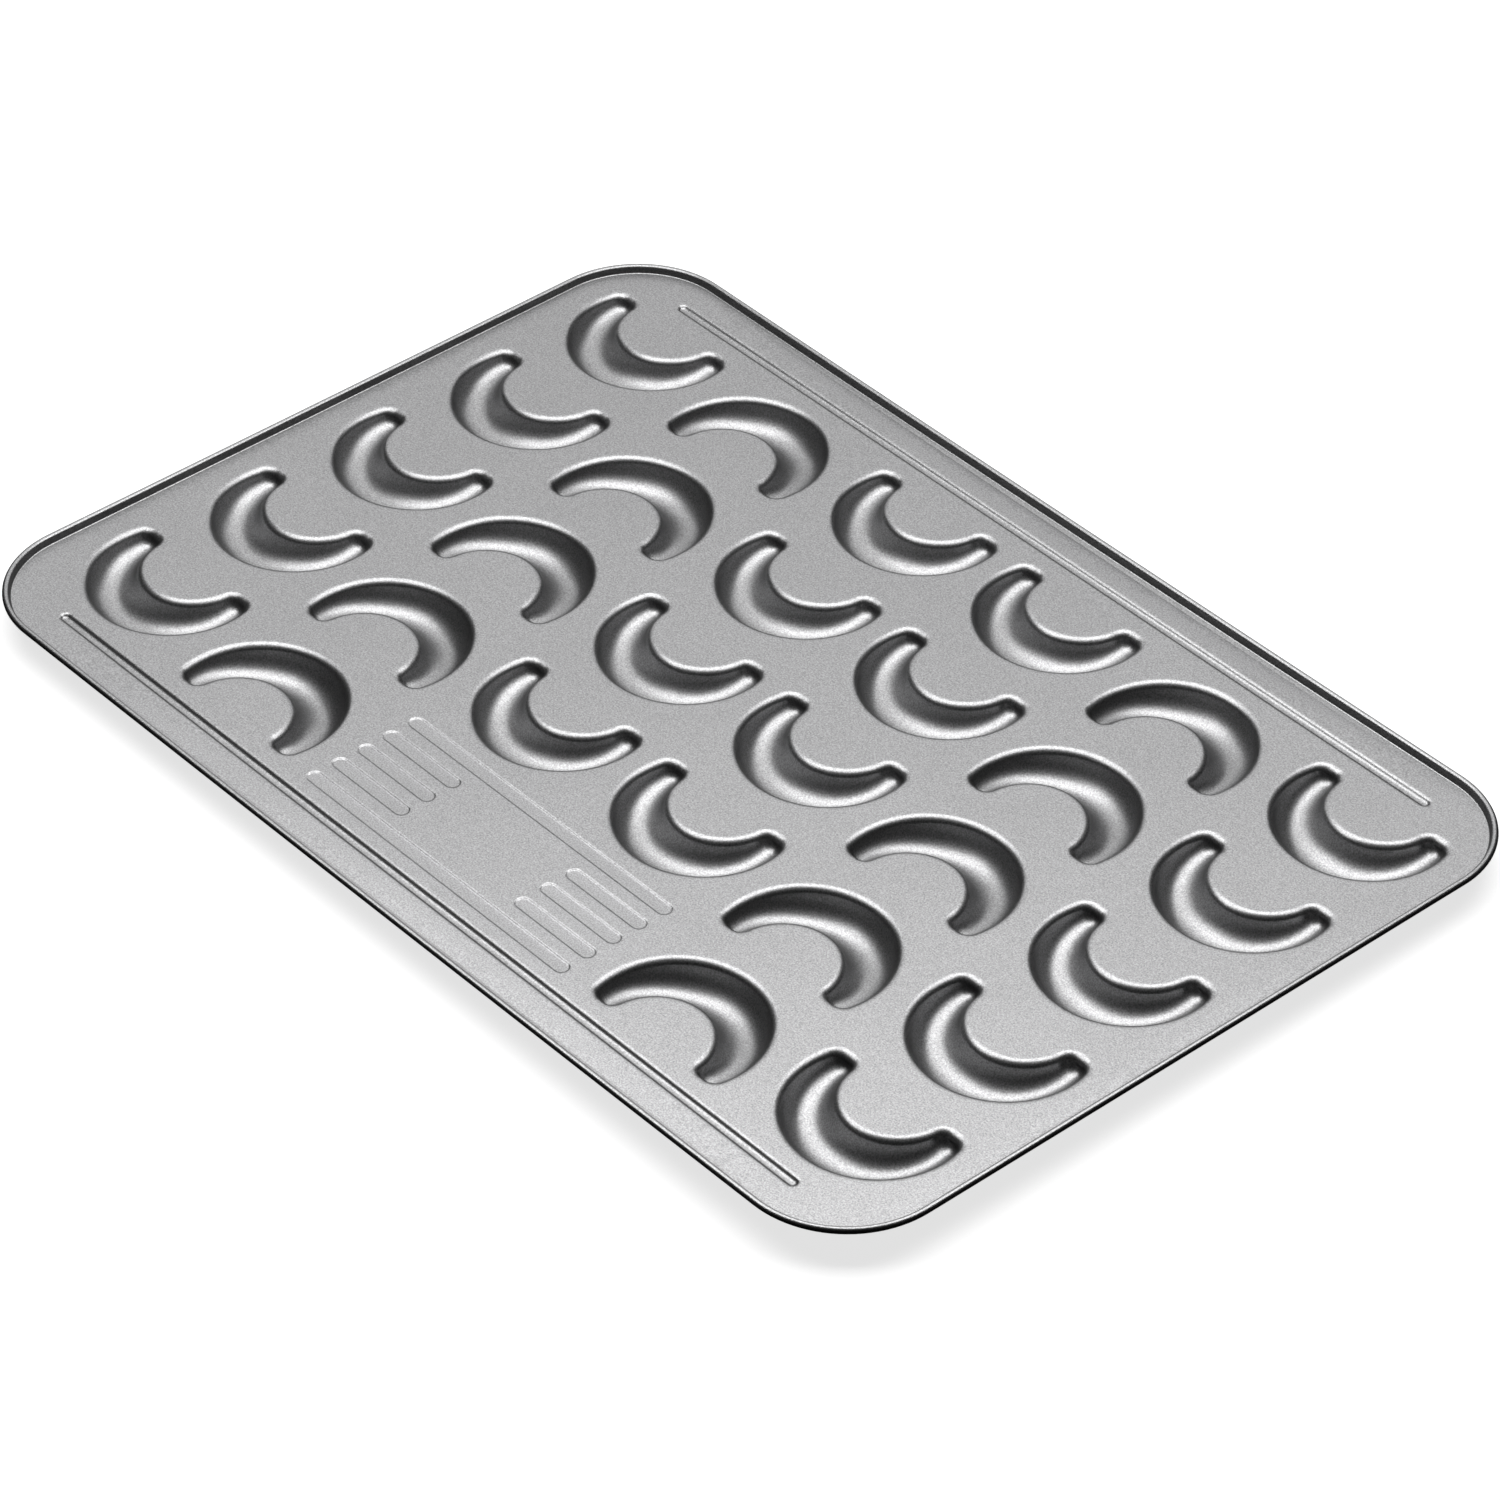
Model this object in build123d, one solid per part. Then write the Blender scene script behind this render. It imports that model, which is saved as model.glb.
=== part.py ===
from build123d import *
import math
import os

# Crescent cookie pan, in millimetres, +Z up. The origin is under the middle of the pan, at the
# level that the 28 moulds stand on. +X runs along the long side, and the bar panel is at -Y.
# The pan is one pressed sheet. Its deck, its moulds and its rolled rim are separate solids that
# meet face to face, all of the same sheet thickness.

# Overall size
PAN_LENGTH = 420.0
PAN_WIDTH = 290.5
CORNER_RADIUS = 35.5
SHEET = 0.5

# Mould layout: how many moulds lie along X and Y, the gaps from wall to wall of two neighbours,
# and the clear strips from a mould's border to the pan's short edge and to a bead's middle line
COLUMNS = 6
ROWS = 5
FLIPPED_COLUMNS = (2, 5)
PANEL_COLUMNS = (3, 4)
COLUMN_GAP = 11.5
ROW_GAP = 13.75
END_STRIP = 11.65
BEAD_STRIP = 6.85

# One crescent, measured between its upright walls and not at its rounded lip
BELLY_WIDTH = 17.5
TIP_WIDTH = 7.1
TIP_FLAT = 3.2
LIP_RADIUS = 2.4
BOWL_ROUNDNESS = 0.8
BOWL_SPARE = 0.05
BOWL_FACETS = 12
UPRIGHT_SPARE = 0.1
STANDING_FLAT = 0.1
SEAM_MARGIN = 1.0
LOFT_STATIONS = 7

# Long stiffening beads, pressed down beside each long side; set in from the pan's edges
BEAD_END_INSET = 36.0
BEAD_INSET = 16.25
BEAD_FLOOR = 1.8
BEAD_DEPTH = 1.1
BEAD_BEND = 1.5

# Panel of shallow pressed bars in place of two moulds: long ones at both ends of the panel and
# short pairs between them; the gap is from a long bar to the wall of the mould beside the panel
BAR_ROWS = 5
PANEL_SHIFT = 1.3
BAR_GAP = 11.75
SHORT_BAR = 33.7
BAR_FLOOR = 3.9
BAR_DEPTH = 0.25
BAR_BEND = 0.8

# Rolled rim: up from the deck, over, and down outside
RIM_HEIGHT = 2.7
RIM_FOOT_BEND = 2.3
RIM_CREST_BEND = 2.0
RIM_EDGE_BEND = 0.55
RIM_HEM_LIFT = 0.3
RIM_HEM_TAIL = 0.5

# Worked out from the sizes above
border = LIP_RADIUS + SEAM_MARGIN
bead_length = PAN_LENGTH - 2 * BEAD_END_INSET
bead_y = PAN_WIDTH / 2 - BEAD_INSET
pitch_x = (PAN_LENGTH - 2 * (END_STRIP + border) + COLUMN_GAP) / COLUMNS
pitch_y = (2 * (bead_y - BEAD_STRIP - border) + ROW_GAP) / ROWS
span = pitch_x - COLUMN_GAP
crescent_height = pitch_y - ROW_GAP
bar_pitch = pitch_y / BAR_ROWS
panel_y = PANEL_SHIFT - (ROWS - 1) / 2 * pitch_y
long_bar = (len(PANEL_COLUMNS) + 1) * pitch_x - span - 2 * BAR_GAP
outer_radius = span / 2
tip_y = crescent_height - outer_radius
tip_inner_x = math.sqrt(outer_radius**2 - tip_y**2) - TIP_WIDTH
belly_inner_y = BELLY_WIDTH - outer_radius
inner_centre_y = (tip_inner_x**2 + tip_y**2 - belly_inner_y**2) / (2 * (tip_y - belly_inner_y))
inner_radius = inner_centre_y - belly_inner_y
tip_round = (TIP_WIDTH - TIP_FLAT) / 2
outer_sweep = math.pi / 2 + math.asin(tip_y / outer_radius)
inner_sweep = math.pi / 2 + math.asin((tip_y - inner_centre_y) / inner_radius)
crescent_middle_y = tip_y - crescent_height / 2
upright = LIP_RADIUS + UPRIGHT_SPARE
mould_depth = upright + BOWL_ROUNDNESS * BELLY_WIDTH / 2
deck_top = mould_depth + SHEET - STANDING_FLAT
deck_under = deck_top - SHEET
rim_slope = math.degrees(math.acos(1 - RIM_HEIGHT / (RIM_FOOT_BEND + RIM_CREST_BEND)))
rim_run = (RIM_FOOT_BEND + RIM_CREST_BEND) * math.sin(math.radians(rim_slope)) + RIM_EDGE_BEND
deck_length = PAN_LENGTH - 2 * rim_run
deck_width = PAN_WIDTH - 2 * rim_run
deck_corner = CORNER_RADIUS - rim_run

# Tool blocks reach this far past what they cut
SPARE = 1.5
BELOW = 3.0


def crescent_outline(grow):
    """Face of the crescent's plan outline, grown outwards, with rounded tips."""
    outer = outer_radius + grow
    inner = inner_radius - grow
    end_y = tip_y + grow
    outer_x = math.sqrt(outer**2 - end_y**2)
    inner_x = math.sqrt(inner**2 - (end_y - inner_centre_y) ** 2)
    edges = [
        ThreePointArc((-outer_x, end_y), (0, -outer), (outer_x, end_y)).edge(),
        Line((outer_x, end_y), (inner_x, end_y)).edge(),
        ThreePointArc((inner_x, end_y), (0, inner_centre_y - inner), (-inner_x, end_y)).edge(),
        Line((-inner_x, end_y), (-outer_x, end_y)).edge(),
    ]
    face = Face(Wire(edges))
    return face.fillet_2d(tip_round + grow, face.vertices())


def bowl_section(along, grow):
    """Upright section across the bowl; along runs from -1 at one tip to 1 at the other."""
    outer_turn = along * outer_sweep
    inner_turn = along * inner_sweep
    outer_point = Vector(math.sin(outer_turn), -math.cos(outer_turn)) * outer_radius
    inner_point = Vector(math.sin(inner_turn), -math.cos(inner_turn)) * inner_radius
    inner_point += Vector(0, inner_centre_y)
    middle = (outer_point + inner_point) * 0.5 + Vector(0, 0, deck_top - upright)
    if abs(along) == 1:
        middle += Vector(0, grow + SPARE)
    across = (outer_point - inner_point).normalized()
    half = (outer_point - inner_point).length / 2
    width = half + grow + BOWL_SPARE
    depth = half * BOWL_ROUNDNESS + grow
    points = []
    for k in range(BOWL_FACETS + 1):
        turn = math.pi * k / BOWL_FACETS
        points.append(middle + across * (width * math.cos(turn)) - Vector(0, 0, depth * math.sin(turn)))
    lift = Vector(0, 0, upright + SPARE)
    return make_face(Polyline(*points, points[-1] + lift, points[0] + lift, close=True))


def crescent_hollow(grow):
    """Solid that fills one mould's hollow, grown outwards by the sheet for the under side."""
    last = LOFT_STATIONS - 1
    bowl = loft([bowl_section(2 * k / last - 1, grow) for k in range(LOFT_STATIONS)])
    outline = crescent_outline(grow)
    walls = extrude(Pos(0, 0, -BELOW) * outline, deck_top + BELOW + SPARE / 2)
    mouth = extrude(Pos(0, 0, deck_top - upright) * outline, upright + SPARE / 2)
    return (walls & bowl) + mouth


def rounded_lip(block, level, radius):
    """Block with the mouth of its hollow rounded over at the given level."""
    planes = block.faces().filter_by(GeomType.PLANE).filter_by(Axis.Z)
    face = planes.filter_by_position(Axis.Z, level - SHEET / 4, level + SHEET / 4)[0]
    return fillet(face.inner_wires()[0].edges(), radius)


def make_mould():
    """One mould with a narrow border of deck, about the centre of its outer arc."""
    plan = crescent_outline(border)
    inside = extrude(Pos(0, 0, -BELOW) * plan, deck_top + BELOW) - crescent_hollow(0)
    inside = rounded_lip(inside, deck_top, LIP_RADIUS)
    side = 2 * span
    under = Pos(0, 0, deck_under - side / 2) * Box(side, side, side) - crescent_hollow(SHEET)
    under = rounded_lip(under, deck_under, LIP_RADIUS - SHEET)
    floor = Pos(0, 0, -side / 2) * Box(side, side, side)
    return inside - under - floor


def mould_places():
    """Name and place of every mould, counted from -X and from -Y."""
    places = {}
    for column in range(1, COLUMNS + 1):
        for row in range(1, ROWS + 1):
            if row == 1 and column in PANEL_COLUMNS:
                continue
            x = (column - (COLUMNS + 1) / 2) * pitch_x
            y = (row - (ROWS + 1) / 2) * pitch_y
            turn = 180 if column in FLIPPED_COLUMNS else 0
            place = Pos(x, y) * Rot(0, 0, turn) * Pos(0, -crescent_middle_y)
            places[f"mould_c{column}_r{row}"] = place
    return places


def sheet_strip(start, moves):
    """Face of constant sheet thickness; moves are lengths, or (radius, turn) on the upper skin."""
    upper = []
    lower = []
    at = Vector(*start)
    heading = Vector(1, 0)
    for move in moves:
        below = at + heading.rotate(Axis.Z, -90) * SHEET
        if isinstance(move, tuple):
            radius, turn = move
            lower_radius = radius + SHEET if turn > 0 else radius - SHEET
            upper.append(JernArc(at, heading, radius, turn).edge())
            lower.append(JernArc(below, heading, lower_radius, turn).edge())
            heading = heading.rotate(Axis.Z, turn)
        else:
            upper.append(Line(at, at + heading * move).edge())
            lower.append(Line(below, below + heading * move).edge())
        at = upper[-1] @ 1
    ends = [
        Line(upper[0] @ 0, lower[0] @ 0).edge(),
        Line(upper[-1] @ 1, lower[-1] @ 1).edge(),
    ]
    return Face(Wire(upper + lower + ends))


def channel_slope(depth, bend):
    """Steepest angle of a channel whose wall is two equal bends."""
    return math.degrees(math.acos(1 - depth / (2 * bend)))


def channel_half_width(floor, depth, bend):
    return floor / 2 + 2 * bend * math.sin(math.radians(channel_slope(depth, bend)))


def channel_insert(length, floor, depth, bend):
    """Pressed channel of sheet thickness with round ends, along X, its mouth at deck level."""
    slope = channel_slope(depth, bend)
    rise = [(bend, slope), (bend, -slope)]
    half_section = sheet_strip((0, -depth), [floor / 2] + rise)
    half_width = channel_half_width(floor, depth, bend)
    between = length - floor
    whole = half_section + mirror(half_section, Plane.YZ)
    straight = Pos(-between / 2, 0) * extrude(Plane.YZ * whole, between, dir=(1, 0, 0))
    round_end = revolve(Plane.XZ * half_section, Axis.Z, 360)
    keep = Pos(half_width, 0) * Box(2 * half_width, 3 * half_width, 4 * bend)
    end = Pos(between / 2, 0) * (round_end & keep)
    insert = straight + end + mirror(end, Plane.YZ)
    return Pos(0, 0, deck_top) * insert


def channel_hole(length, floor, depth, bend):
    """Slot that the channel insert fills."""
    half_width = channel_half_width(floor, depth, bend)
    slot = SlotCenterToCenter(length - floor, 2 * half_width)
    return extrude(Pos(0, 0, deck_under - BELOW) * slot, SHEET + 2 * BELOW)


def channels():
    """Place and sizes of every pressed channel in the deck."""
    bead = (bead_length, BEAD_FLOOR, BEAD_DEPTH, BEAD_BEND)
    found = [(Pos(0, side * bead_y), bead) for side in (-1, 1)]
    short_x = (long_bar - SHORT_BAR) / 2
    for row in range(BAR_ROWS):
        y = panel_y + (row - (BAR_ROWS - 1) / 2) * bar_pitch
        if row in (0, BAR_ROWS - 1):
            found.append((Pos(0, y), (long_bar, BAR_FLOOR, BAR_DEPTH, BAR_BEND)))
        else:
            for side in (-1, 1):
                found.append((Pos(side * short_x, y), (SHORT_BAR, BAR_FLOOR, BAR_DEPTH, BAR_BEND)))
    return found


def make_deck():
    """Flat deck with a hole for each mould, and the beads and bars pressed into it."""
    plan = RectangleRounded(deck_length, deck_width, deck_corner)
    deck = extrude(Pos(0, 0, deck_under) * plan, SHEET)
    outline = Pos(0, 0, deck_under - BELOW) * crescent_outline(border)
    hole = extrude(outline, SHEET + 2 * BELOW)
    deck -= [place * hole for place in mould_places().values()]
    deck -= [place * channel_hole(*sizes) for place, sizes in channels()]
    deck += [place * channel_insert(*sizes) for place, sizes in channels()]
    return deck


def make_rim():
    """Rolled rim, swept round the edge of the deck."""
    drop = RIM_HEIGHT - RIM_HEM_LIFT - 2 * RIM_EDGE_BEND
    moves = [
        (RIM_FOOT_BEND, rim_slope),
        (RIM_CREST_BEND, -rim_slope),
        (RIM_EDGE_BEND, -90),
        drop,
        (RIM_EDGE_BEND, -90),
        RIM_HEM_TAIL,
    ]
    section = Pos(deck_length / 2, 0, deck_top) * (Plane.XZ * sheet_strip((0, 0), moves))
    path = RectangleRounded(deck_length, deck_width, deck_corner).face().outer_wire()
    return sweep(section, Pos(0, 0, deck_top) * path)


def main():
    os.makedirs("parts", exist_ok=True)
    mould = make_mould()
    for name, place in mould_places().items():
        export_step(place * mould, f"parts/{name}.step")
    export_step(make_deck(), "parts/deck.step")
    export_step(make_rim(), "parts/rolled_rim.step")


main()
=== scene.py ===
import math

import bmesh
import bpy
from bpy.props import FloatProperty, FloatVectorProperty, PointerProperty
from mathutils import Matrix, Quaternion, Vector


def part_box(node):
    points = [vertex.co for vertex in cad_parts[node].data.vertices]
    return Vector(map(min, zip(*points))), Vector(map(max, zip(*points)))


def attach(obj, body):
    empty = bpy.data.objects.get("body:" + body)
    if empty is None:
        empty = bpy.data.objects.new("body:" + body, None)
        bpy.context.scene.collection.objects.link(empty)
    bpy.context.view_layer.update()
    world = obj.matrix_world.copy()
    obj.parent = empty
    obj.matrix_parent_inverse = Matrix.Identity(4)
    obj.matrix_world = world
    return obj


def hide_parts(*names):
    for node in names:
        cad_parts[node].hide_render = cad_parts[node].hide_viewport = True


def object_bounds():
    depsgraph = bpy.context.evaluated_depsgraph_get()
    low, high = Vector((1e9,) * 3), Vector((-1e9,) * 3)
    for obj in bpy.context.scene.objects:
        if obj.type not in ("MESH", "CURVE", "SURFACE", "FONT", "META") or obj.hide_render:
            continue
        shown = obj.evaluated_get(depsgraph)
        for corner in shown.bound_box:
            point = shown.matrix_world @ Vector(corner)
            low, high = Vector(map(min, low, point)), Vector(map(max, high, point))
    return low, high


bl_info = {
    "name": "Crescent cookie pan",
    "version": (1, 0, 0),
    "blender": (4, 5, 0),
    "location": "View3D > Sidebar > Cookie Pan",
    "description": "Dresses the frame of a crescent cookie pan as one pressed and coated steel sheet",
    "category": "Add Mesh",
}

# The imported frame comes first, because the sizes of the new pieces are read from its boxes
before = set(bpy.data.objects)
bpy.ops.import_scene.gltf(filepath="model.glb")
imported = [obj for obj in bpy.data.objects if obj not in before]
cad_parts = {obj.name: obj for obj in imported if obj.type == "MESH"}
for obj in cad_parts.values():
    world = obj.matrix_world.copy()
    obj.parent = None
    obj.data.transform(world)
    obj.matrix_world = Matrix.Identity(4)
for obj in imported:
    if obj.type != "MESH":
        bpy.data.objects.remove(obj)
CAD_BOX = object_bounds()
DECK_NODE = "deck"
RIM_NODE = "rolled_rim"
MOULD_NODES = sorted(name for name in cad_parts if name.startswith("mould_"))
FLIPPED_COLUMNS = ("c2", "c5")
BODY = "root"
SEAM = "mould_seam"
COATING = "grey_non_stick_coating"

# Pieces are shaped in millimetres and shrunk to metres when they are finished
MM = 0.001

# Distance in millimetres under which two points count as one
TINY = 0.001

# How finely the curved surfaces are divided
ACROSS = 24
ALONG = 60
TIP_STEPS = 8
WALL_STEPS = 3
LIP_STEPS = 8
CORNER_STEPS = 24
ROUND_END_STEPS = 10
SIDE_CUTS = 27
STRIP_STEPS = 3
BEND_STEPS = 5
SMOOTH_ANGLE = math.radians(40)

# Profile of a bevel that makes it round
ROUND = 0.5

# Where a mould's round bowl ends below the level of its own middle, and the straight wall over it
BRIM_ANGLE = math.radians(22.5)
STRAIGHT_WALL = 0.1

# Rows of bars on each side of the middle row, of which the outermost is one long bar
BAR_ROWS = 2

# Part of a noise's range that nearly all of its values lie in
NOISE_LOW = 0.3
NOISE_HIGH = 0.7

# How many finer layers each noise of the coating has
SPECKLE_DETAIL = 2
PEEL_DETAIL = 1
CLOUD_DETAIL = 3

# Floor, white light, and the camera's sensor in millimetres and reach in metres
FLOOR_SIZE = 60
FLOOR_ROUGHNESS = 0.9
WHITE = (1, 1, 1, 1)
SENSOR_WIDTH = 36
CAMERA_REACH = 100

# Distances between the nodes of a material in its editor
NODE_COLUMN = 250
NODE_ROW = 300


def length(name, description, millimetres):
    """Property for a length, whose default is given in millimetres."""
    return FloatProperty(
        name=name, description=description, default=millimetres * MM, unit="LENGTH", precision=5
    )


def share(name, description, default):
    """Property for a share from 0 to 1."""
    return FloatProperty(
        name=name, description=description, default=default, min=0, max=1, subtype="FACTOR"
    )


def angle(name, description, degrees):
    """Property for an angle, whose default is given in degrees."""
    return FloatProperty(
        name=name, description=description, default=math.radians(degrees), unit="ROTATION"
    )


def power(name, description, default):
    """Property for the power of a light, in watts."""
    return FloatProperty(name=name, description=description, default=default, min=0, unit="POWER")


def colour(name, description, default):
    """Property for a linear colour."""
    return FloatVectorProperty(
        name=name, description=description, default=default, size=3, min=0, max=1, subtype="COLOR"
    )


def mm(value):
    """Millimetres of a length that is kept in metres."""
    return value / MM


class MouldSizes(bpy.types.PropertyGroup):
    """Sizes of one crescent mould"""

    belly_width: length("Belly width", "Width of the mouth halfway along, before rounding", 18.6)
    tip_width: length("Tip width", "Width of the mouth at its tips, before rounding", 8.9)
    tip_flat: length("Tip flat", "Straight stretch of the end wall", 2.2)
    lip_radius: length("Lip radius", "Radius that rounds the mouth over into the deck", 2.8)
    seam_margin: length("Seam margin", "Flat border between the lip and the deck's own piece", 0.6)
    wall_slope: angle("Wall slope", "Steepness of the walls under the lip", 70.0)
    bowl_depth: length("Bowl depth", "Depth of the bowl under the sloping walls, at its middle", 7.4)
    taper: FloatProperty(name="Taper", description="How fast it gets shallower to its tips", default=1.2)
    end_wall: share("End wall", "Upright share of the bowl's depth at its tips", 0.3)


class SheetSizes(bpy.types.PropertyGroup):
    """Sizes of the sheet, its beads, its bars and its rolled rim"""

    sheet: length("Sheet", "Thickness of the steel", 0.5)
    support: length("Support loop", "Flat border round each pressed channel", 0.4)
    corner: length("Corner radius", "Radius of the pan's corners at the rim", 35.5)
    bead_length: length("Bead length", "Length of a stiffening bead", 348.0)
    bead_y: length("Bead place", "Distance of the beads from the pan's middle line", 129.4)
    bead_floor: length("Bead floor", "Width of the flat floor of a bead", 0.6)
    bead_depth: length("Bead depth", "Depth of a bead", 1.1)
    bead_bend: length("Bead bend", "Radius of the bends of a bead", 1.5)
    bar_pitch: length("Bar pitch", "Distance from bar to bar", 10.05)
    panel_y: length("Panel place", "Place of the middle of the bar panel along Y", -99.2)
    long_bar: length("Long bar", "Length of the two long bars", 121.8)
    short_bar: length("Short bar", "Length of the six short bars", 33.7)
    bar_floor: length("Bar floor", "Width of the flat floor of a bar", 3.9)
    bar_depth: length("Bar depth", "Depth of a bar", 0.35)
    bar_bend: length("Bar bend", "Radius of the bends of a bar", 1.0)
    foot_bend: length("Rim foot bend", "Radius of the bend from the deck up into the rim", 0.5)
    wall_slope: angle("Rim wall slope", "Steepness of the rim's inner wall", 76.0)
    roll: length("Roll", "Radius of the rolled edge", 1.1)
    hem_lift: length("Hem lift", "Height of the rolled edge's under side over the deck", 0.4)
    hem_tail: length("Hem tail", "Flat end of the rolled edge under the rim", 0.3)
    short_strip: length("Short strip", "Width of the strip that bows down along a short side", 6.5)
    long_strip: length("Long strip", "Width of the strip that bows down along a long side", 18.5)
    short_bow: length("Short bow", "How far a short side bows down at the rim's foot", 0.1)
    long_bow: length("Long bow", "How far a long side bows down at the rim's foot", 0.9)
    edge_bow: share("Edge bow", "Share of the bow that reaches the rim's outer edge", 0.5)


class CoatingLooks(bpy.types.PropertyGroup):
    """Look of the grey non-stick coating"""

    tone: colour("Tone", "Colour of the coating", (0.2, 0.2, 0.202))
    grazing: colour("Grazing tint", "Colour of its gloss at a low angle", (0.35, 0.35, 0.35))
    roughness: share("Roughness", "Roughness of the coating", 0.37)
    deep_roughness: share("Deep roughness", "Roughness of the coating down in the moulds", 0.4)
    deep: length("Dull below", "Height below which the coating is as rough as it gets", 6.0)
    shallow: length("Satin above", "Height above which the coating is as smooth as it gets", 8.7)
    contrast: share("Speckle contrast", "How much lighter and darker the speckle is", 0.32)
    clouding: share("Clouding", "How much lighter and darker wide patches are", 0.02)
    speckle: length("Speckle width", "Width of the metallic speckles", 0.5)
    peel: length("Orange peel width", "Width of the dimples of the orange peel", 2.0)
    cloud: length("Cloud width", "Width of the faint waves in the sheet", 40.0)
    speckle_depth: length("Speckle depth", "Height of the speckles", 0.012)
    peel_depth: length("Orange peel depth", "Depth of the orange peel", 0.006)
    cloud_depth: length("Cloud depth", "Height of the faint waves in the sheet", 0.1)


class StudioLooks(bpy.types.PropertyGroup):
    """Floor, lights and camera"""

    floor: colour("Floor", "Colour of the floor", (0.28, 0.28, 0.28))
    floor_glow: share("Floor glow", "How much the floor shines by itself", 0.75)
    dim: colour("Surroundings", "Light of the room round the softbox", (0.006, 0.006, 0.006))
    key: power("Softbox power", "Power of the overhead softbox", 12.8)
    key_height: length("Softbox height", "Height of the softbox over the floor", 700.0)
    key_width: length("Softbox width", "Width of the softbox across the view", 1170.0)
    key_far: angle("Softbox far edge", "Height of its far edge over the horizon", 61.5)
    key_near: angle("Softbox near edge", "Height of its near edge over the horizon", 78.0)
    back: power("Back panel power", "Power of the panel behind the pan", 6.4)
    back_distance: length("Back panel distance", "Distance of the panel behind the pan", 900.0)
    back_width: length("Back panel width", "Width of the panel behind the pan", 1140.0)
    back_low: angle("Back panel foot", "Height of its lower edge over the horizon", 10.0)
    azimuth: angle("Camera azimuth", "Direction of the camera from the X axis", -41.43)
    elevation: angle("Camera elevation", "Height of the camera over the horizon", 39.10)
    roll: angle("Camera roll", "Turn of the camera about its line of sight", 0.2475)
    distance: length("Camera distance", "Distance from the camera to its target", 1963.7)
    lens: FloatProperty(name="Lens", description="Focal length in millimetres", default=152.4)
    target: FloatVectorProperty(
        name="Target",
        description="Point that the camera looks at",
        default=(0.01914, -0.00985, 0.0099),
        size=3,
        unit="LENGTH",
    )


# Editing helpers


def pick(piece):
    """Select one piece alone and make it the active one."""
    bpy.ops.object.select_all(action="DESELECT")
    piece.select_set(True)
    bpy.context.view_layer.objects.active = piece


def open_edit(piece):
    """Open one piece alone in edit mode, with nothing selected in it."""
    pick(piece)
    bpy.ops.object.mode_set(mode="EDIT")
    bpy.ops.mesh.select_mode(type="VERT")
    bpy.ops.mesh.select_all(action="DESELECT")
    return piece


def close_edit():
    """Go back to object mode."""
    bpy.ops.object.mode_set(mode="OBJECT")


def open_mesh():
    """Mesh that is open in edit mode."""
    return bmesh.from_edit_mesh(bpy.context.object.data)


def select_verts(test):
    """Select the open mesh's vertices that pass the test."""
    bpy.ops.mesh.select_mode(type="VERT")
    bpy.ops.mesh.select_all(action="DESELECT")
    mesh = open_mesh()
    for vert in mesh.verts:
        vert.select = bool(test(vert))
    mesh.select_flush_mode()
    bmesh.update_edit_mesh(bpy.context.object.data)


def select_edges(test):
    """Select the open mesh's edges that pass the test."""
    bpy.ops.mesh.select_mode(type="EDGE")
    bpy.ops.mesh.select_all(action="DESELECT")
    mesh = open_mesh()
    for edge in mesh.edges:
        edge.select = bool(test(edge))
    mesh.select_flush_mode()
    bmesh.update_edit_mesh(bpy.context.object.data)


def move(x=0.0, y=0.0, z=0.0):
    """Move what is selected."""
    bpy.ops.transform.translate(value=(x, y, z))


def turn(turned, centre):
    """Turn what is selected about the upright axis; with no window the operator turns the other way."""
    bpy.ops.transform.rotate(value=-turned, orient_axis="Z", center_override=centre)


def stretch(x, y, z, centre):
    """Stretch what is selected about a centre."""
    bpy.ops.transform.resize(value=(x, y, z), center_override=centre)


def extrude(z):
    """Extrude what is selected straight up by z."""
    bpy.ops.mesh.extrude_region_move(TRANSFORM_OT_translate={"value": (0, 0, z)})


def face_up():
    """Turn all faces of an open sheet so that its flat border looks up."""
    bpy.ops.mesh.select_all(action="SELECT")
    bpy.ops.mesh.normals_make_consistent(inside=False)
    mesh = open_mesh()
    flat = sum(face.normal.z * face.calc_area() for face in mesh.faces)
    if flat < 0:
        bpy.ops.mesh.flip_normals()


def rounded_plate(name, size_x, size_y, corner, steps):
    """Flat face with round corners about the origin, left open in edit mode."""
    bpy.ops.object.select_all(action="DESELECT")
    bpy.ops.mesh.primitive_plane_add(size=1)
    plate = bpy.context.object
    plate.name = name
    plate.scale = (size_x, size_y, 1)
    bpy.ops.object.transform_apply(scale=True)
    open_edit(plate)
    bpy.ops.mesh.select_all(action="SELECT")
    bpy.ops.mesh.bevel(offset=corner, segments=steps, affect="VERTICES", profile=ROUND)
    return plate


def inset_along(section):
    """Inset the selected face from point to point of a section of (distance inwards, height)."""
    for (inwards, height), (next_inwards, next_height) in zip(section, section[1:]):
        bpy.ops.mesh.inset(
            thickness=next_inwards - inwards, depth=next_height - height, use_even_offset=True
        )


def finish_piece(piece, node, material):
    """Shrink a finished piece to metres, shade it and set it in its node's place in the frame."""
    pick(piece)
    piece.scale = (MM, MM, MM)
    bpy.ops.object.transform_apply(location=True, rotation=True, scale=True)
    bpy.ops.object.shade_smooth_by_angle(angle=SMOOTH_ANGLE)
    piece.data.materials.clear()
    piece.data.materials.append(material)
    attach(piece, BODY)
    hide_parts(node)


def thicken(piece, sheet):
    """Give an open sheet its thickness, below the side that its faces look to."""
    pick(piece)
    solid = piece.modifiers.new("Sheet", "SOLIDIFY")
    solid.thickness = sheet
    solid.offset = -1
    solid.use_even_offset = True
    bpy.ops.object.modifier_apply(modifier=solid.name)


# Sections of bends


def bend_points(radius, slope):
    """(run, rise) of the points of a bend that starts level and ends at the slope."""
    turns = [slope * k / BEND_STEPS for k in range(BEND_STEPS + 1)]
    return [(radius * math.sin(turned), radius * (1 - math.cos(turned))) for turned in turns]


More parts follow.
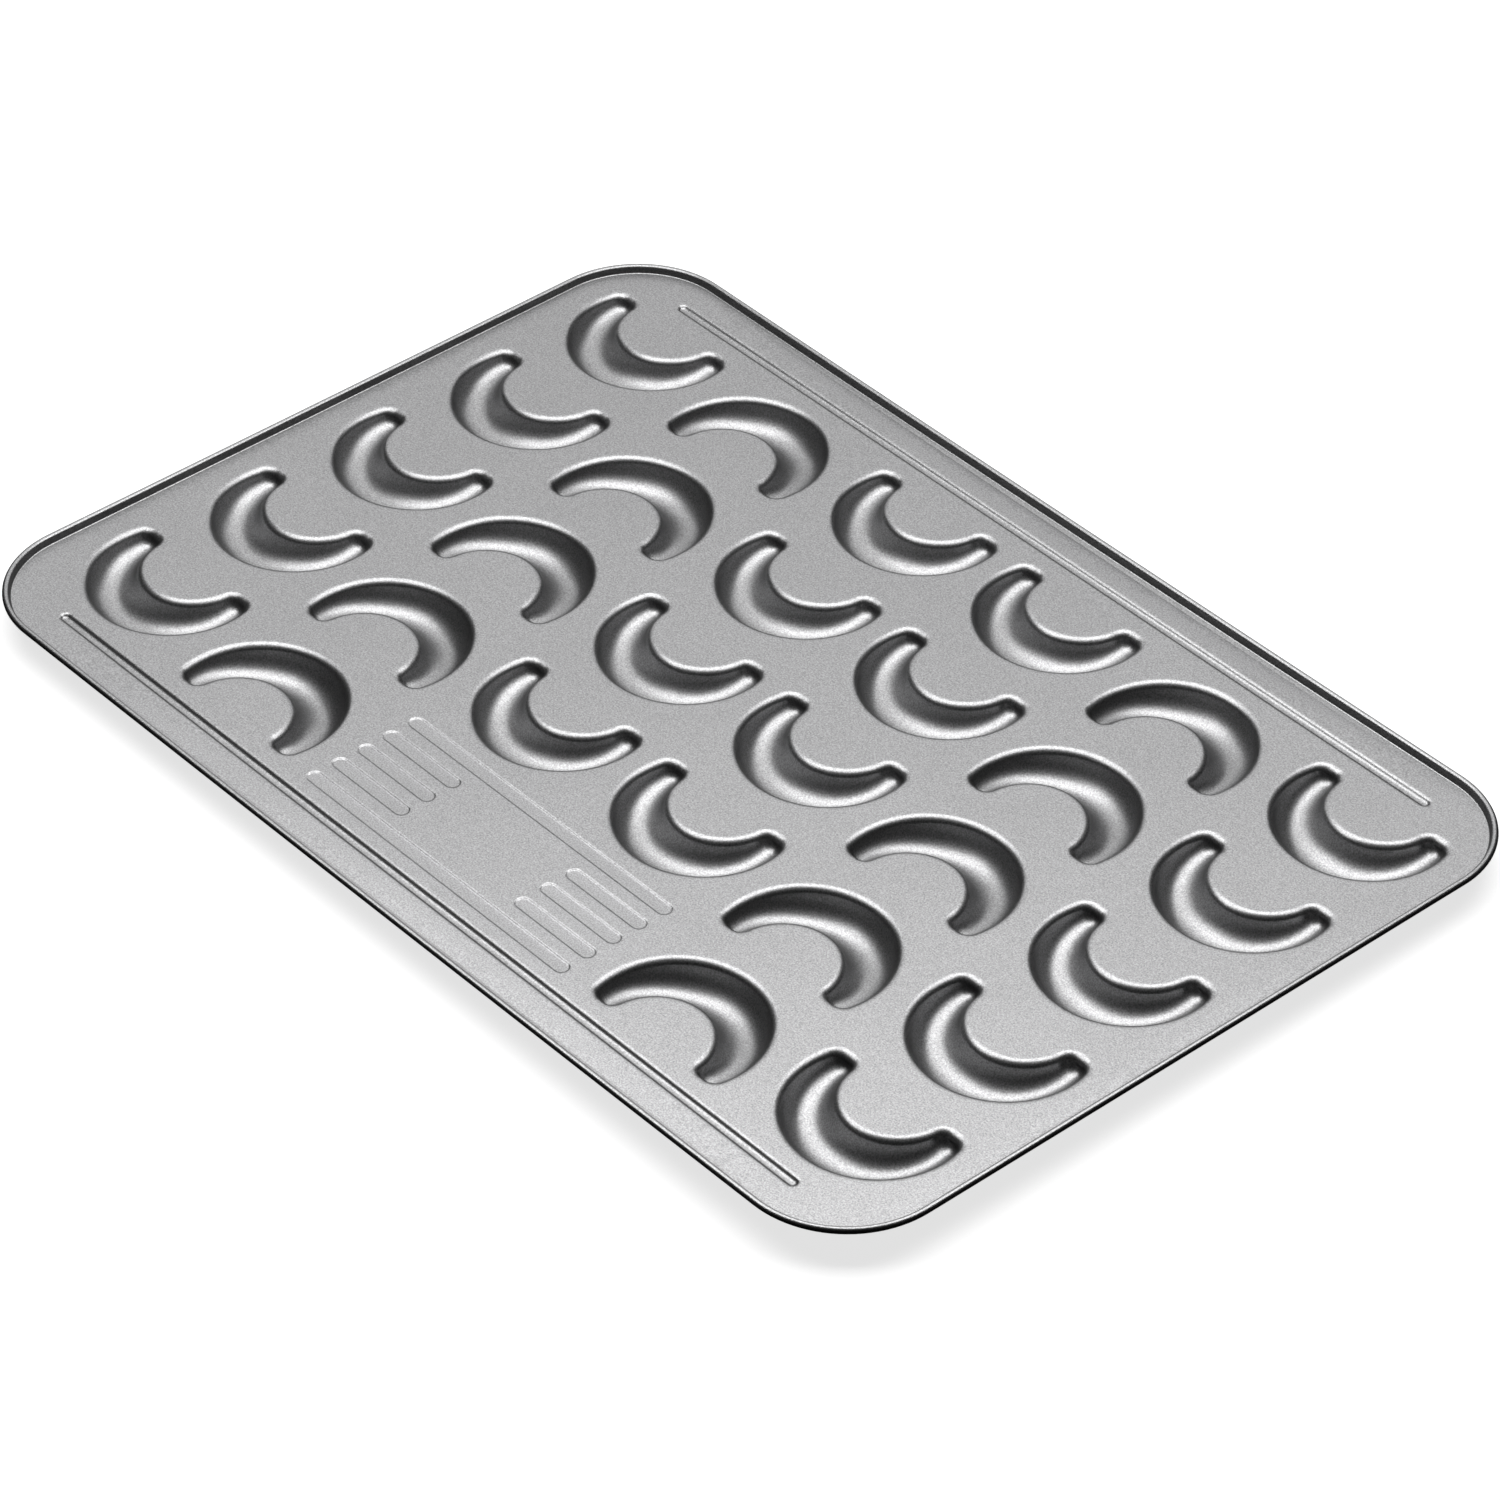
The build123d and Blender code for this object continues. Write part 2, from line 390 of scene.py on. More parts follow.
def channel_section(depth, bend, support):
    """Section from a flat border down to the floor of a pressed channel."""
    slope = math.acos(1 - depth / (2 * bend))
    run = 2 * bend * math.sin(slope)
    upper = [(support + x, -z) for x, z in bend_points(bend, slope)]
    lower = [(support + run - x, z - depth) for x, z in reversed(bend_points(bend, slope))]
    return [(0, 0)] + upper + lower[1:]


class Crescent:
    """Plan and sections of one crescent's bowl about the centre of its outer arc, in millimetres."""

    def __init__(self, sizes, box):
        self.lip = mm(sizes.lip_radius) * math.tan(sizes.wall_slope / 2)
        self.border = self.lip + mm(sizes.seam_margin)
        self.wall_height = (self.lip + STRAIGHT_WALL) * math.sin(sizes.wall_slope)
        self.wall_reach = (self.lip + STRAIGHT_WALL) * math.cos(sizes.wall_slope)
        self.end_wall = sizes.end_wall
        self.taper = sizes.taper
        self.bowl_depth = mm(sizes.bowl_depth)
        tip_width = mm(sizes.tip_width) - 2 * self.wall_reach
        self.tip_round = (tip_width - mm(sizes.tip_flat)) / 2
        width = mm(box[1].x - box[0].x) - 2 * (self.border + self.wall_reach)
        height = mm(box[1].y - box[0].y) - 2 * (self.border + self.wall_reach)
        self.fit_arcs(width, height, mm(sizes.belly_width) - 2 * self.wall_reach, tip_width)

    def fit_arcs(self, width, height, belly_width, tip_width):
        """Outer arc from the bowl's size, and the inner arc that leaves its belly and tips their widths."""
        self.belly = belly_width / 2
        self.outer = width / 2
        self.tip_y = height - self.outer
        self.middle_y = self.tip_y - height / 2
        tip_inner_x = math.sqrt(self.outer**2 - self.tip_y**2) - tip_width
        belly_y = belly_width - self.outer
        self.inner_y = tip_inner_x**2 + self.tip_y**2 - belly_y**2
        self.inner_y /= 2 * (self.tip_y - belly_y)
        self.inner = self.inner_y - belly_y

    def cut(self, y):
        """Half width and middle of the arm where the level line at y crosses it."""
        outer_x = math.sqrt(self.outer**2 - y**2)
        inner_x = math.sqrt(self.inner**2 - (y - self.inner_y) ** 2)
        return (outer_x - inner_x) / 2, (outer_x + inner_x) / 2

    def depth(self, half):
        """Depth of the bowl where it is twice as wide as given."""
        return self.bowl_depth * (half / self.belly) ** self.taper

    def tip_rows(self):
        """Sections of the right tip, from its end wall back to where the arm is full."""
        rows = []
        half, middle = self.cut(self.tip_y)
        depth = self.depth(half) * self.end_wall
        for k in range(WALL_STEPS):
            rows.append((half - self.tip_round, depth * k / WALL_STEPS, 0, middle, self.tip_y))
        for k in range(TIP_STEPS, 0, -1):
            turned = math.pi / 2 * k / TIP_STEPS
            y = self.tip_y - self.tip_round * (1 - math.sin(turned))
            half, middle = self.cut(y)
            short_of_full = 1 - math.cos(turned)
            depth = self.depth(half) * (1 - (1 - self.end_wall) * short_of_full)
            rows.append((half - self.tip_round * short_of_full, depth, 0, middle, y))
        return rows

    def arm_rows(self):
        """Sections between the two tips, from left to right."""
        full_y = self.tip_y - self.tip_round
        outer_sweep = math.pi / 2 + math.asin(full_y / self.outer)
        inner_sweep = math.pi / 2 + math.asin((full_y - self.inner_y) / self.inner)
        rows = []
        for k in range(ALONG + 1):
            along = 2 * k / ALONG - 1
            outer_turn = along * outer_sweep
            inner_turn = along * inner_sweep
            outer = self.outer * Vector((math.sin(outer_turn), -math.cos(outer_turn)))
            inner = self.inner * Vector((math.sin(inner_turn), -math.cos(inner_turn)))
            inner += Vector((0, self.inner_y))
            across = outer - inner
            middle = (outer + inner) / 2
            half = across.length / 2
            turned = math.atan2(across.y, across.x)
            rows.append((half, self.depth(half), turned, middle.x, middle.y))
        return rows

    def rows(self):
        """All sections as (half width, bowl depth, turn, middle x, middle y), left tip to right tip."""
        right = self.tip_rows()
        left = [(half, depth, math.pi, -x, y) for half, depth, _, x, y in right]
        return left + self.arm_rows() + right[::-1]


# Moulds


def straight_trough(count):
    """Trough along Y, 1 mm deep and 1 mm to each side, sections 1 mm apart, left in edit mode."""
    bpy.ops.object.select_all(action="DESELECT")
    bpy.ops.mesh.primitive_circle_add(
        vertices=2 * ACROSS, radius=1, rotation=(math.pi / 2, 0, 0)
    )
    trough = bpy.context.object
    bpy.ops.object.transform_apply(rotation=True)
    open_edit(trough)
    brim = -math.sin(BRIM_ANGLE)
    select_verts(lambda vert: vert.co.z > brim + TINY)
    bpy.ops.mesh.delete(type="VERT")
    bpy.ops.mesh.select_all(action="SELECT")
    move(z=-brim)
    stretch(1 / math.cos(BRIM_ANGLE), 1, 1 / (1 + brim), (0, 0, 0))
    for _ in range(count - 1):
        bpy.ops.mesh.extrude_region_move(TRANSFORM_OT_translate={"value": (0, 1, 0)})
    return trough


def place_sections(rows, level):
    """Narrow, turn and move each section of the straight trough to its place in the crescent."""
    sections = [[] for _ in rows]
    for vert in open_mesh().verts:
        sections[round(vert.co.y)].append(vert.index)
    for number, (half, depth, turned, x, y) in enumerate(rows):
        members = set(sections[number])
        select_verts(lambda vert: vert.index in members)
        centre = (0, number, 0)
        stretch(half, 1, depth, centre)
        turn(turned, centre)
        move(x, y - number, level)


def widen(reach, above):
    """Move the selected top edge of the open mesh's walls outwards, away from the crescent."""
    outwards = sum(
        face.normal.dot(Vector((face.calc_center_median().x, face.calc_center_median().y, 0)))
        for face in open_mesh().faces
        if face.calc_center_median().z > above and face.calc_center_median().y < 0
    )
    bpy.ops.transform.shrink_fatten(value=math.copysign(reach, outwards), use_even_offset=True)


def add_lip(crescent, deck_top):
    """Sloping walls up to the deck, a flat border round them, and the lip that rounds them over."""
    bpy.ops.mesh.select_mode(type="EDGE")
    bpy.ops.mesh.select_all(action="DESELECT")
    bpy.ops.mesh.select_non_manifold(
        extend=False,
        use_boundary=True,
        use_wire=False,
        use_multi_face=False,
        use_non_contiguous=False,
        use_verts=False,
    )
    extrude(crescent.wall_height)
    mouth = {vert.index for vert in open_mesh().verts if vert.select}
    widen(crescent.wall_reach, deck_top - crescent.wall_height)
    extrude(crescent.border)
    widen(crescent.border, deck_top)
    stretch(1, 1, 0, (0, 0, deck_top))
    select_edges(lambda edge: all(vert.index in mouth for vert in edge.verts))
    bpy.ops.mesh.bevel(
        offset=crescent.lip, segments=LIP_STEPS, profile=ROUND, affect="EDGES", offset_type="OFFSET"
    )


def model_mould(sizes, box):
    """One upright mould about the middle of its place, as an open sheet."""
    crescent = Crescent(sizes, box)
    deck_top = mm(box[1].z)
    rows = crescent.rows()
    mould = straight_trough(len(rows))
    place_sections(rows, deck_top - crescent.wall_height)
    bpy.ops.mesh.select_all(action="SELECT")
    bpy.ops.mesh.remove_doubles(threshold=TINY)
    add_lip(crescent, deck_top)
    face_up()
    bpy.ops.mesh.select_all(action="SELECT")
    move(0, -crescent.middle_y, 0)
    close_edit()
    return mould


def seam_line(mould):
    """Outer edge of the mould's border, as a piece of bare edges."""
    open_edit(mould)
    select_edges(lambda edge: len(edge.link_faces) == 1)
    bpy.ops.mesh.duplicate()
    bpy.ops.mesh.separate(type="SELECTED")
    close_edit()
    return next(piece for piece in bpy.context.selected_objects if piece is not mould)


def copy_to(piece, name, centre, turned):
    """Copy of a piece, with its own mesh, turned half round where asked and moved to its place."""
    pick(piece)
    bpy.ops.object.duplicate(linked=False)
    copy = bpy.context.object
    copy.name = name
    copy.data.name = name
    copy.rotation_euler.z = math.pi if turned else 0
    copy.location = (centre.x, centre.y, 0)
    bpy.ops.object.transform_apply(location=True, rotation=True, scale=False)
    return copy


def node_is_flipped(node):
    """Whether a mould's horns point to the bars."""
    return any(column in node for column in FLIPPED_COLUMNS)


def mould_places():
    """Node name, middle and direction of every mould, read from the frame."""
    places = []
    for node in MOULD_NODES:
        low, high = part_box(node)
        places.append((node, (low + high) / 2 / MM, node_is_flipped(node)))
    return places


# Deck


def inset_of(point, size_x, size_y, corner):
    """How far inside a rectangle with round corners a point lies."""
    x = abs(point.x) - (size_x / 2 - corner)
    y = abs(point.y) - (size_y / 2 - corner)
    if x > 0 and y > 0:
        return corner - math.hypot(x, y)
    return corner - max(x, y)


def divide_sides(corner, steps):
    """Divide the long straight edges of an open plate, so that its sides can bow."""
    corner_step = corner * math.pi / 2 / steps
    select_edges(lambda edge: edge.calc_length() > 2 * corner_step)
    bpy.ops.mesh.subdivide(number_cuts=SIDE_CUTS)


def channel(name, size, floor, depth, bend, support, place, bowed=False):
    """Pressed channel with round ends and a flat border, as an open sheet about its place."""
    section = channel_section(depth, bend, support)
    reach = section[-1][0]
    width = floor + 2 * reach
    piece = rounded_plate(name, size + 2 * reach, width, width / 2 - TINY, ROUND_END_STEPS)
    # The two round corners of an end leave a tiny edge between them, which is merged away
    bpy.ops.mesh.select_all(action="SELECT")
    bpy.ops.mesh.remove_doubles(threshold=4 * TINY)
    if bowed:
        divide_sides(width / 2, ROUND_END_STEPS)
    bpy.ops.mesh.select_all(action="SELECT")
    inset_along(section)
    bpy.ops.mesh.select_all(action="SELECT")
    move(*place)
    close_edit()
    return piece


def pressed_channels(sizes, level):
    """The two beads, and the bars: a long one in each outermost row and two short ones in the others."""
    made = []
    support = mm(sizes.support)
    bead = (mm(sizes.bead_floor), mm(sizes.bead_depth), mm(sizes.bead_bend), support)
    bar = (mm(sizes.bar_floor), mm(sizes.bar_depth), mm(sizes.bar_bend), support)
    for side in (-1, 1):
        place = (0, side * mm(sizes.bead_y), level)
        made.append(channel("bead", mm(sizes.bead_length), *bead, place, bowed=True))
    aside = (mm(sizes.long_bar) - mm(sizes.short_bar)) / 2
    for row in range(-BAR_ROWS, BAR_ROWS + 1):
        y = mm(sizes.panel_y) + row * mm(sizes.bar_pitch)
        if abs(row) == BAR_ROWS:
            made.append(channel("bar", mm(sizes.long_bar), *bar, (0, y, level)))
        else:
            for side in (-1, 1):
                made.append(channel("bar", mm(sizes.short_bar), *bar, (side * aside, y, level)))
    return made


def deck_plan(sizes):
    """Half length, half width and corner radius of the deck, in millimetres."""
    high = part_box(DECK_NODE)[1]
    corner = sizes.corner - (CAD_BOX[1].x - high.x)
    return mm(high.x), mm(high.y), mm(corner)


def outer_strip(plan, width, level):
    """Strip along the deck's edge, as an open sheet."""
    strip = rounded_plate(DECK_NODE + "_sheet", *plan, CORNER_STEPS)
    divide_sides(plan[-1], CORNER_STEPS)
    bpy.ops.mesh.select_all(action="SELECT")
    move(z=level)
    inset_along([(width * k / STRIP_STEPS, level) for k in range(STRIP_STEPS + 1)])
    bpy.ops.mesh.delete(type="ONLY_FACE")
    close_edit()
    return strip


def join_to(piece, others):
    """Join other pieces to one that keeps its name."""
    pick(piece)
    for other in others:
        other.select_set(True)
    bpy.ops.object.join()


def model_deck(sizes, seam):
    """Deck as an open sheet: an outer strip, the channels, and the flat filled in between them."""
    half_x, half_y, corner = deck_plan(sizes)
    plan = (2 * half_x, 2 * half_y, corner)
    level = mm(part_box(DECK_NODE)[1].z)
    deck = outer_strip(plan, mm(sizes.short_strip), level)
    channels = pressed_channels(sizes, level)
    holes = [copy_to(seam, "hole", middle, turned) for _, middle, turned in mould_places()]
    join_to(deck, channels + holes)
    open_edit(deck)
    select_edges(
        lambda edge: len(edge.link_faces) < 2
        and all(inset_of(vert.co, *plan) > TINY for vert in edge.verts)
    )
    bpy.ops.mesh.fill(use_beauty=True)
    bpy.ops.mesh.beautify_fill(angle_limit=SMOOTH_ANGLE)
    bpy.ops.mesh.dissolve_degenerate(threshold=TINY)
    face_up()
    close_edit()
    return deck


# Rim


def rim_section(sizes, height, run):
    """Section of the rolled edge, from its outer wall over the crest and down to the deck."""
    roll = mm(sizes.roll)
    foot = mm(sizes.foot_bend)
    slope = sizes.wall_slope
    straight = height - (roll + foot) * (1 - math.cos(slope))
    reach = roll + (roll + foot) * math.sin(slope) + straight / math.tan(slope)
    outer = [(z, x - roll) for x, z in bend_points(roll, math.pi / 2)]
    inner = [(roll + x, -z) for x, z in bend_points(roll, slope)]
    low = [(reach - x, z - height) for x, z in reversed(bend_points(foot, slope))]
    return outer + inner[1:] + low + [(run, -height)]


def hem_section(sizes):
    """Section of the rolled edge's under side, from its outer wall in to the end of the hem."""
    roll = mm(sizes.roll)
    under = [(z, x) for x, z in bend_points(roll, math.pi / 2)]
    return under + [(roll + mm(sizes.hem_tail), roll)]


def fold_under(sizes, plan, drop):
    """Outer wall that drops from the outer edge of the open ring, and the hem under it."""
    select_edges(
        lambda edge: len(edge.link_faces) == 1
        and all(inset_of(vert.co, *plan) < TINY for vert in edge.verts)
    )
    extrude(-drop)
    bpy.ops.mesh.edge_face_add()
    inset_along(hem_section(sizes))
    bpy.ops.mesh.delete(type="FACE")


def model_rim(sizes):
    """Rolled rim as an open sheet, whose faces look out of the sheet's outer side."""
    size_x = mm(CAD_BOX[1].x - CAD_BOX[0].x)
    size_y = mm(CAD_BOX[1].y - CAD_BOX[0].y)
    plan = (size_x, size_y, mm(sizes.corner))
    low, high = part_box(DECK_NODE)
    level = mm(high.z)
    height = mm(CAD_BOX[1].z) - level
    run = (size_x - mm(high.x - low.x)) / 2
    wall_top = level + height - mm(sizes.roll)
    wall_bottom = level + mm(sizes.hem_lift) + mm(sizes.roll)
    rim = rounded_plate(RIM_NODE + "_sheet", *plan, CORNER_STEPS)
    divide_sides(plan[-1], CORNER_STEPS)
    bpy.ops.mesh.select_all(action="SELECT")
    move(z=wall_top)
    inset_along(rim_section(sizes, height, run))
    bpy.ops.mesh.delete(type="FACE")
    fold_under(sizes, plan, wall_top - wall_bottom)
    close_edit()
    return rim


# Finishing of the sheets


def flatten_underside(mould):
    """Press the lowest part of a mould's under side flat, where the pan stands."""
    open_edit(mould)
    select_verts(lambda vert: vert.co.z < 0)
    stretch(1, 1, 0, (0, 0, 0))
    close_edit()


def bow_at(point, sizes, plan):
    """How far the sheet bows down at a point: most at the middle of a side's rim, least at corners."""
    half_x, half_y, corner = plan
    x = abs(point.x) / (half_x - corner)
    y = abs(point.y) / (half_y - corner)
    if x > 1 and y > 1:
        return 0
    strip, drop = sizes.short_strip, sizes.short_bow
    if y > x:
        strip, drop = sizes.long_strip, sizes.long_bow
    inset = inset_of(point, 2 * half_x, 2 * half_y, corner)
    if inset > 0:
        ramp = max(0, 1 - inset / mm(strip)) ** 2
    else:
        outside = -inset / (mm(CAD_BOX[1].x) - half_x)
        ramp = 1 - (1 - sizes.edge_bow) * outside
    return mm(drop) * ramp * (1 - min(x, y) ** 2)


def bow_down(piece, sizes):
    """Lower the sheet towards the rim, beside the middle of each side."""
    most = max(mm(sizes.long_bow), mm(sizes.short_bow))
    plan = deck_plan(sizes)
    group = piece.vertex_groups.new(name="Bow")
    for vert in piece.data.vertices:
        group.add([vert.index], bow_at(vert.co, sizes, plan) / most, "REPLACE")
    pick(piece)
    bow = piece.modifiers.new("Bow", "DISPLACE")
    bow.direction = "Z"
    bow.mid_level = 0
    bow.strength = -most
    bow.vertex_group = group.name
    bpy.ops.object.modifier_apply(modifier=bow.name)
    piece.vertex_groups.clear()


# Coating


def add_node(tree, kind, column, row, **settings):
    """Node of a kind with its settings, in a column and a row of the tree."""
    node = tree.nodes.new(kind)
    node.location = (column * NODE_COLUMN, row * NODE_ROW)
    for name, value in settings.items():
        setattr(node, name, value)
    return node


def noise(tree, coordinates, feature, detail, row):
    """Even noise whose features are about as wide as given, in metres."""
    node = add_node(tree, "ShaderNodeTexNoise", -5, row)
    node.inputs["Scale"].default_value = 1 / feature
    node.inputs["Detail"].default_value = detail
    tree.links.new(coordinates, node.inputs["Vector"])
    return node.outputs["Fac"]


def map_range(tree, value, low, high, to_low, to_high, row):
    """Value mapped from one range to another, and kept inside it."""
    node = add_node(tree, "ShaderNodeMapRange", -4, row)
    node.inputs["From Min"].default_value = low
    node.inputs["From Max"].default_value = high
    node.inputs["To Min"].default_value = to_low
    node.inputs["To Max"].default_value = to_high
    tree.links.new(value, node.inputs["Value"])
    return node.outputs["Result"]


def lighter_and_darker(tree, pattern, contrast, row):
    """Factor that a noise varies by the contrast, up and down from 1."""
    return map_range(tree, pattern, NOISE_LOW, NOISE_HIGH, 1 - contrast, 1 + contrast, row)


def bump(tree, height, depth, under, column):
    """Bump of a depth in metres, over the bump under it."""
    node = add_node(tree, "ShaderNodeBump", column, -2)
    node.inputs["Distance"].default_value = depth
    tree.links.new(height, node.inputs["Height"])
    if under is not None:
        tree.links.new(under, node.inputs["Normal"])
    return node.outputs["Normal"]


def tint(tree, looks, speckle, cloud):
    """Colour of the coating, which the speckle and the clouding make lighter and darker."""
    speckle_tone = lighter_and_darker(tree, speckle, looks.contrast, 1)
    cloud_tone = lighter_and_darker(tree, cloud, looks.clouding, -1)
    both = add_node(tree, "ShaderNodeMath", -3, 1, operation="MULTIPLY")
    tree.links.new(speckle_tone, both.inputs[0])
    tree.links.new(cloud_tone, both.inputs[1])
    paint = add_node(tree, "ShaderNodeVectorMath", -2, 1, operation="SCALE")
    paint.inputs[0].default_value = looks.tone
    tree.links.new(both.outputs["Value"], paint.inputs["Scale"])
    return paint.outputs["Vector"]


def gloss(tree, looks, coordinates):
    """Roughness of the coating, which is duller down in the moulds."""
    place = add_node(tree, "ShaderNodeSeparateXYZ", -5, 2)
    tree.links.new(coordinates, place.inputs["Vector"])
    dull, satin = looks.deep_roughness, looks.roughness
    return map_range(tree, place.outputs["Z"], looks.deep, looks.shallow, dull, satin, 2)


def texture(tree, looks, speckle, peel, cloud):
    """Faint waves in the sheet, with the orange peel over them and the speckle over that."""
    wave = bump(tree, cloud, looks.cloud_depth, None, -3)
    skin = bump(tree, peel, looks.peel_depth, wave, -2)
    return bump(tree, speckle, looks.speckle_depth, skin, -1)


def coating(looks):
    """Satin grey non-stick coating over steel: fine metallic speckle and a faint orange peel."""
    material = bpy.data.materials.get(COATING)
    if material:
        return material
    material = bpy.data.materials.new(COATING)
    material.use_nodes = True
    tree = material.node_tree
    shader = tree.nodes["Principled BSDF"]
    shader.inputs["Metallic"].default_value = 1
    shader.inputs["Specular Tint"].default_value = (*looks.grazing, 1)
    coordinates = add_node(tree, "ShaderNodeTexCoord", -6, 0).outputs["Object"]
    speckle = noise(tree, coordinates, looks.speckle, SPECKLE_DETAIL, 1)
    peel = noise(tree, coordinates, looks.peel, PEEL_DETAIL, 0)
    cloud = noise(tree, coordinates, looks.cloud, CLOUD_DETAIL, -1)
    tree.links.new(tint(tree, looks, speckle, cloud), shader.inputs["Base Color"])
    tree.links.new(gloss(tree, looks, coordinates), shader.inputs["Roughness"])
    tree.links.new(texture(tree, looks, speckle, peel, cloud), shader.inputs["Normal"])
    return material


# Stage


def aim(thing, place, target, roll=0.0):
    """Stand a camera or a light at a place and turn it to its target."""
    thing.location = place
    towards = (target - place).to_track_quat("-Z", "Y")
    thing.rotation_euler = (towards @ Quaternion((0, 0, 1), roll)).to_euler()


def direction(azimuth, elevation):
    """Unit vector at an azimuth from the X axis and an elevation over the horizon."""
    return Vector(
        (
            math.cos(elevation) * math.cos(azimuth),
            math.cos(elevation) * math.sin(azimuth),
            math.sin(elevation),
        )
    )


def stand_camera(looks):
    """Camera at the photograph's viewing angle."""
    bpy.ops.object.camera_add()
    camera = bpy.context.object
    camera.name = "camera"
    camera.data.sensor_width = SENSOR_WIDTH
    camera.data.lens = looks.lens
    camera.data.clip_end = CAMERA_REACH
    target = Vector(looks.target)
    place = target + looks.distance * direction(looks.azimuth, looks.elevation)
    aim(camera, place, target, looks.roll)
    bpy.context.scene.camera = camera


def lay_floor(looks):
    """Wide pale floor, which the pan's satin coating doesn't mirror."""
    bpy.ops.object.select_all(action="DESELECT")
    bpy.ops.mesh.primitive_plane_add(size=FLOOR_SIZE)
    floor = bpy.context.object
    floor.name = "floor"
    material = bpy.data.materials.new("pale_floor")
    material.use_nodes = True
    shader = material.node_tree.nodes["Principled BSDF"]
    shader.inputs["Base Color"].default_value = (*looks.floor, 1)
    shader.inputs["Roughness"].default_value = FLOOR_ROUGHNESS
    shader.inputs["Specular IOR Level"].default_value = 0
    shader.inputs["Emission Color"].default_value = WHITE
    shader.inputs["Emission Strength"].default_value = looks.floor_glow
    floor.data.materials.append(material)
    floor.visible_glossy = False


def light_panel(name, width, depth, watts, place):
    """Panel of even light that faces the pan from its place."""
    bpy.ops.object.light_add(type="AREA")
    panel = bpy.context.object
    panel.name = name
    panel.data.shape = "RECTANGLE"
    panel.data.size = width
    panel.data.size_y = depth
    panel.data.energy = watts
    panel.visible_camera = False
    panel.location = place
    return panel


def hang_softbox(looks):
    """Level softbox over the pan, from a little on the camera's side to well on the far side."""
    far = looks.key_height / math.tan(looks.key_far)
    near = looks.key_height / math.tan(looks.key_near)
    place = (far - near) / 2 * direction(looks.azimuth + math.pi, 0)
    place.z = looks.key_height
    softbox = light_panel("softbox", looks.key_width, far + near, looks.key, place)
    softbox.rotation_euler.z = looks.azimuth + math.pi / 2


def stand_back_panel(looks):
    """Dimmer panel behind the pan, from the softbox's far edge down to near the floor."""
    half = (looks.key_far - looks.back_low) / 2
    height = 2 * looks.back_distance * math.tan(half)
    place = looks.back_distance * direction(looks.azimuth + math.pi, looks.back_low + half)
    panel = light_panel("back_panel", looks.back_width, height, looks.back, place)
    aim(panel, place, Vector())


def light_world(looks):
    """World that is white to look at, and dim in the pan's reflections."""
    world = bpy.data.worlds.new("studio")
    world.use_nodes = True
    tree = world.node_tree
    background = tree.nodes["Background"]
    background.inputs["Strength"].default_value = 1
    path = add_node(tree, "ShaderNodeLightPath", -2, 0)
    mix = add_node(tree, "ShaderNodeMix", -1, 0, data_type="RGBA")
    mix.inputs["A"].default_value = (*looks.dim, 1)
    mix.inputs["B"].default_value = WHITE
    tree.links.new(path.outputs["Is Camera Ray"], mix.inputs["Factor"])
    tree.links.new(mix.outputs["Result"], background.inputs["Color"])
    bpy.context.scene.world = world
    bpy.context.scene.view_settings.view_transform = "Standard"


# Operators


class COOKIEPAN_OT_moulds(bpy.types.Operator):
    """Model one crescent mould and set a copy of it in every place of the pan"""

    bl_idname = "cookie_pan.moulds"
    bl_label = "Moulds"

    def execute(self, context):
        sizes = context.scene.cookie_moulds
        sheet = context.scene.cookie_sheet
        material = coating(context.scene.cookie_coating)
        upright = next(node for node in MOULD_NODES if not node_is_flipped(node))
        mould = model_mould(sizes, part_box(upright))
        seam = seam_line(mould)
        seam.name = SEAM
        thicken(mould, mm(sheet.sheet))
        flatten_underside(mould)
        for node, middle, turned in mould_places():
            piece = copy_to(mould, node + "_pressed", middle, turned)
            finish_piece(piece, node, material)
        bpy.data.objects.remove(mould)
        return {"FINISHED"}


class COOKIEPAN_OT_deck(bpy.types.Operator):
    """Model the flat deck with its beads and bars, between the moulds"""

    bl_idname = "cookie_pan.deck"
    bl_label = "Deck"

    def execute(self, context):
        sizes = context.scene.cookie_sheet
        seam = bpy.data.objects.get(SEAM)
        if seam is None:
            raise RuntimeError("the moulds come before the deck, which is filled in round them")
        deck = model_deck(sizes, seam)
        thicken(deck, mm(sizes.sheet))
        bow_down(deck, sizes)
        finish_piece(deck, DECK_NODE, coating(context.scene.cookie_coating))
        bpy.data.objects.remove(seam)
        return {"FINISHED"}


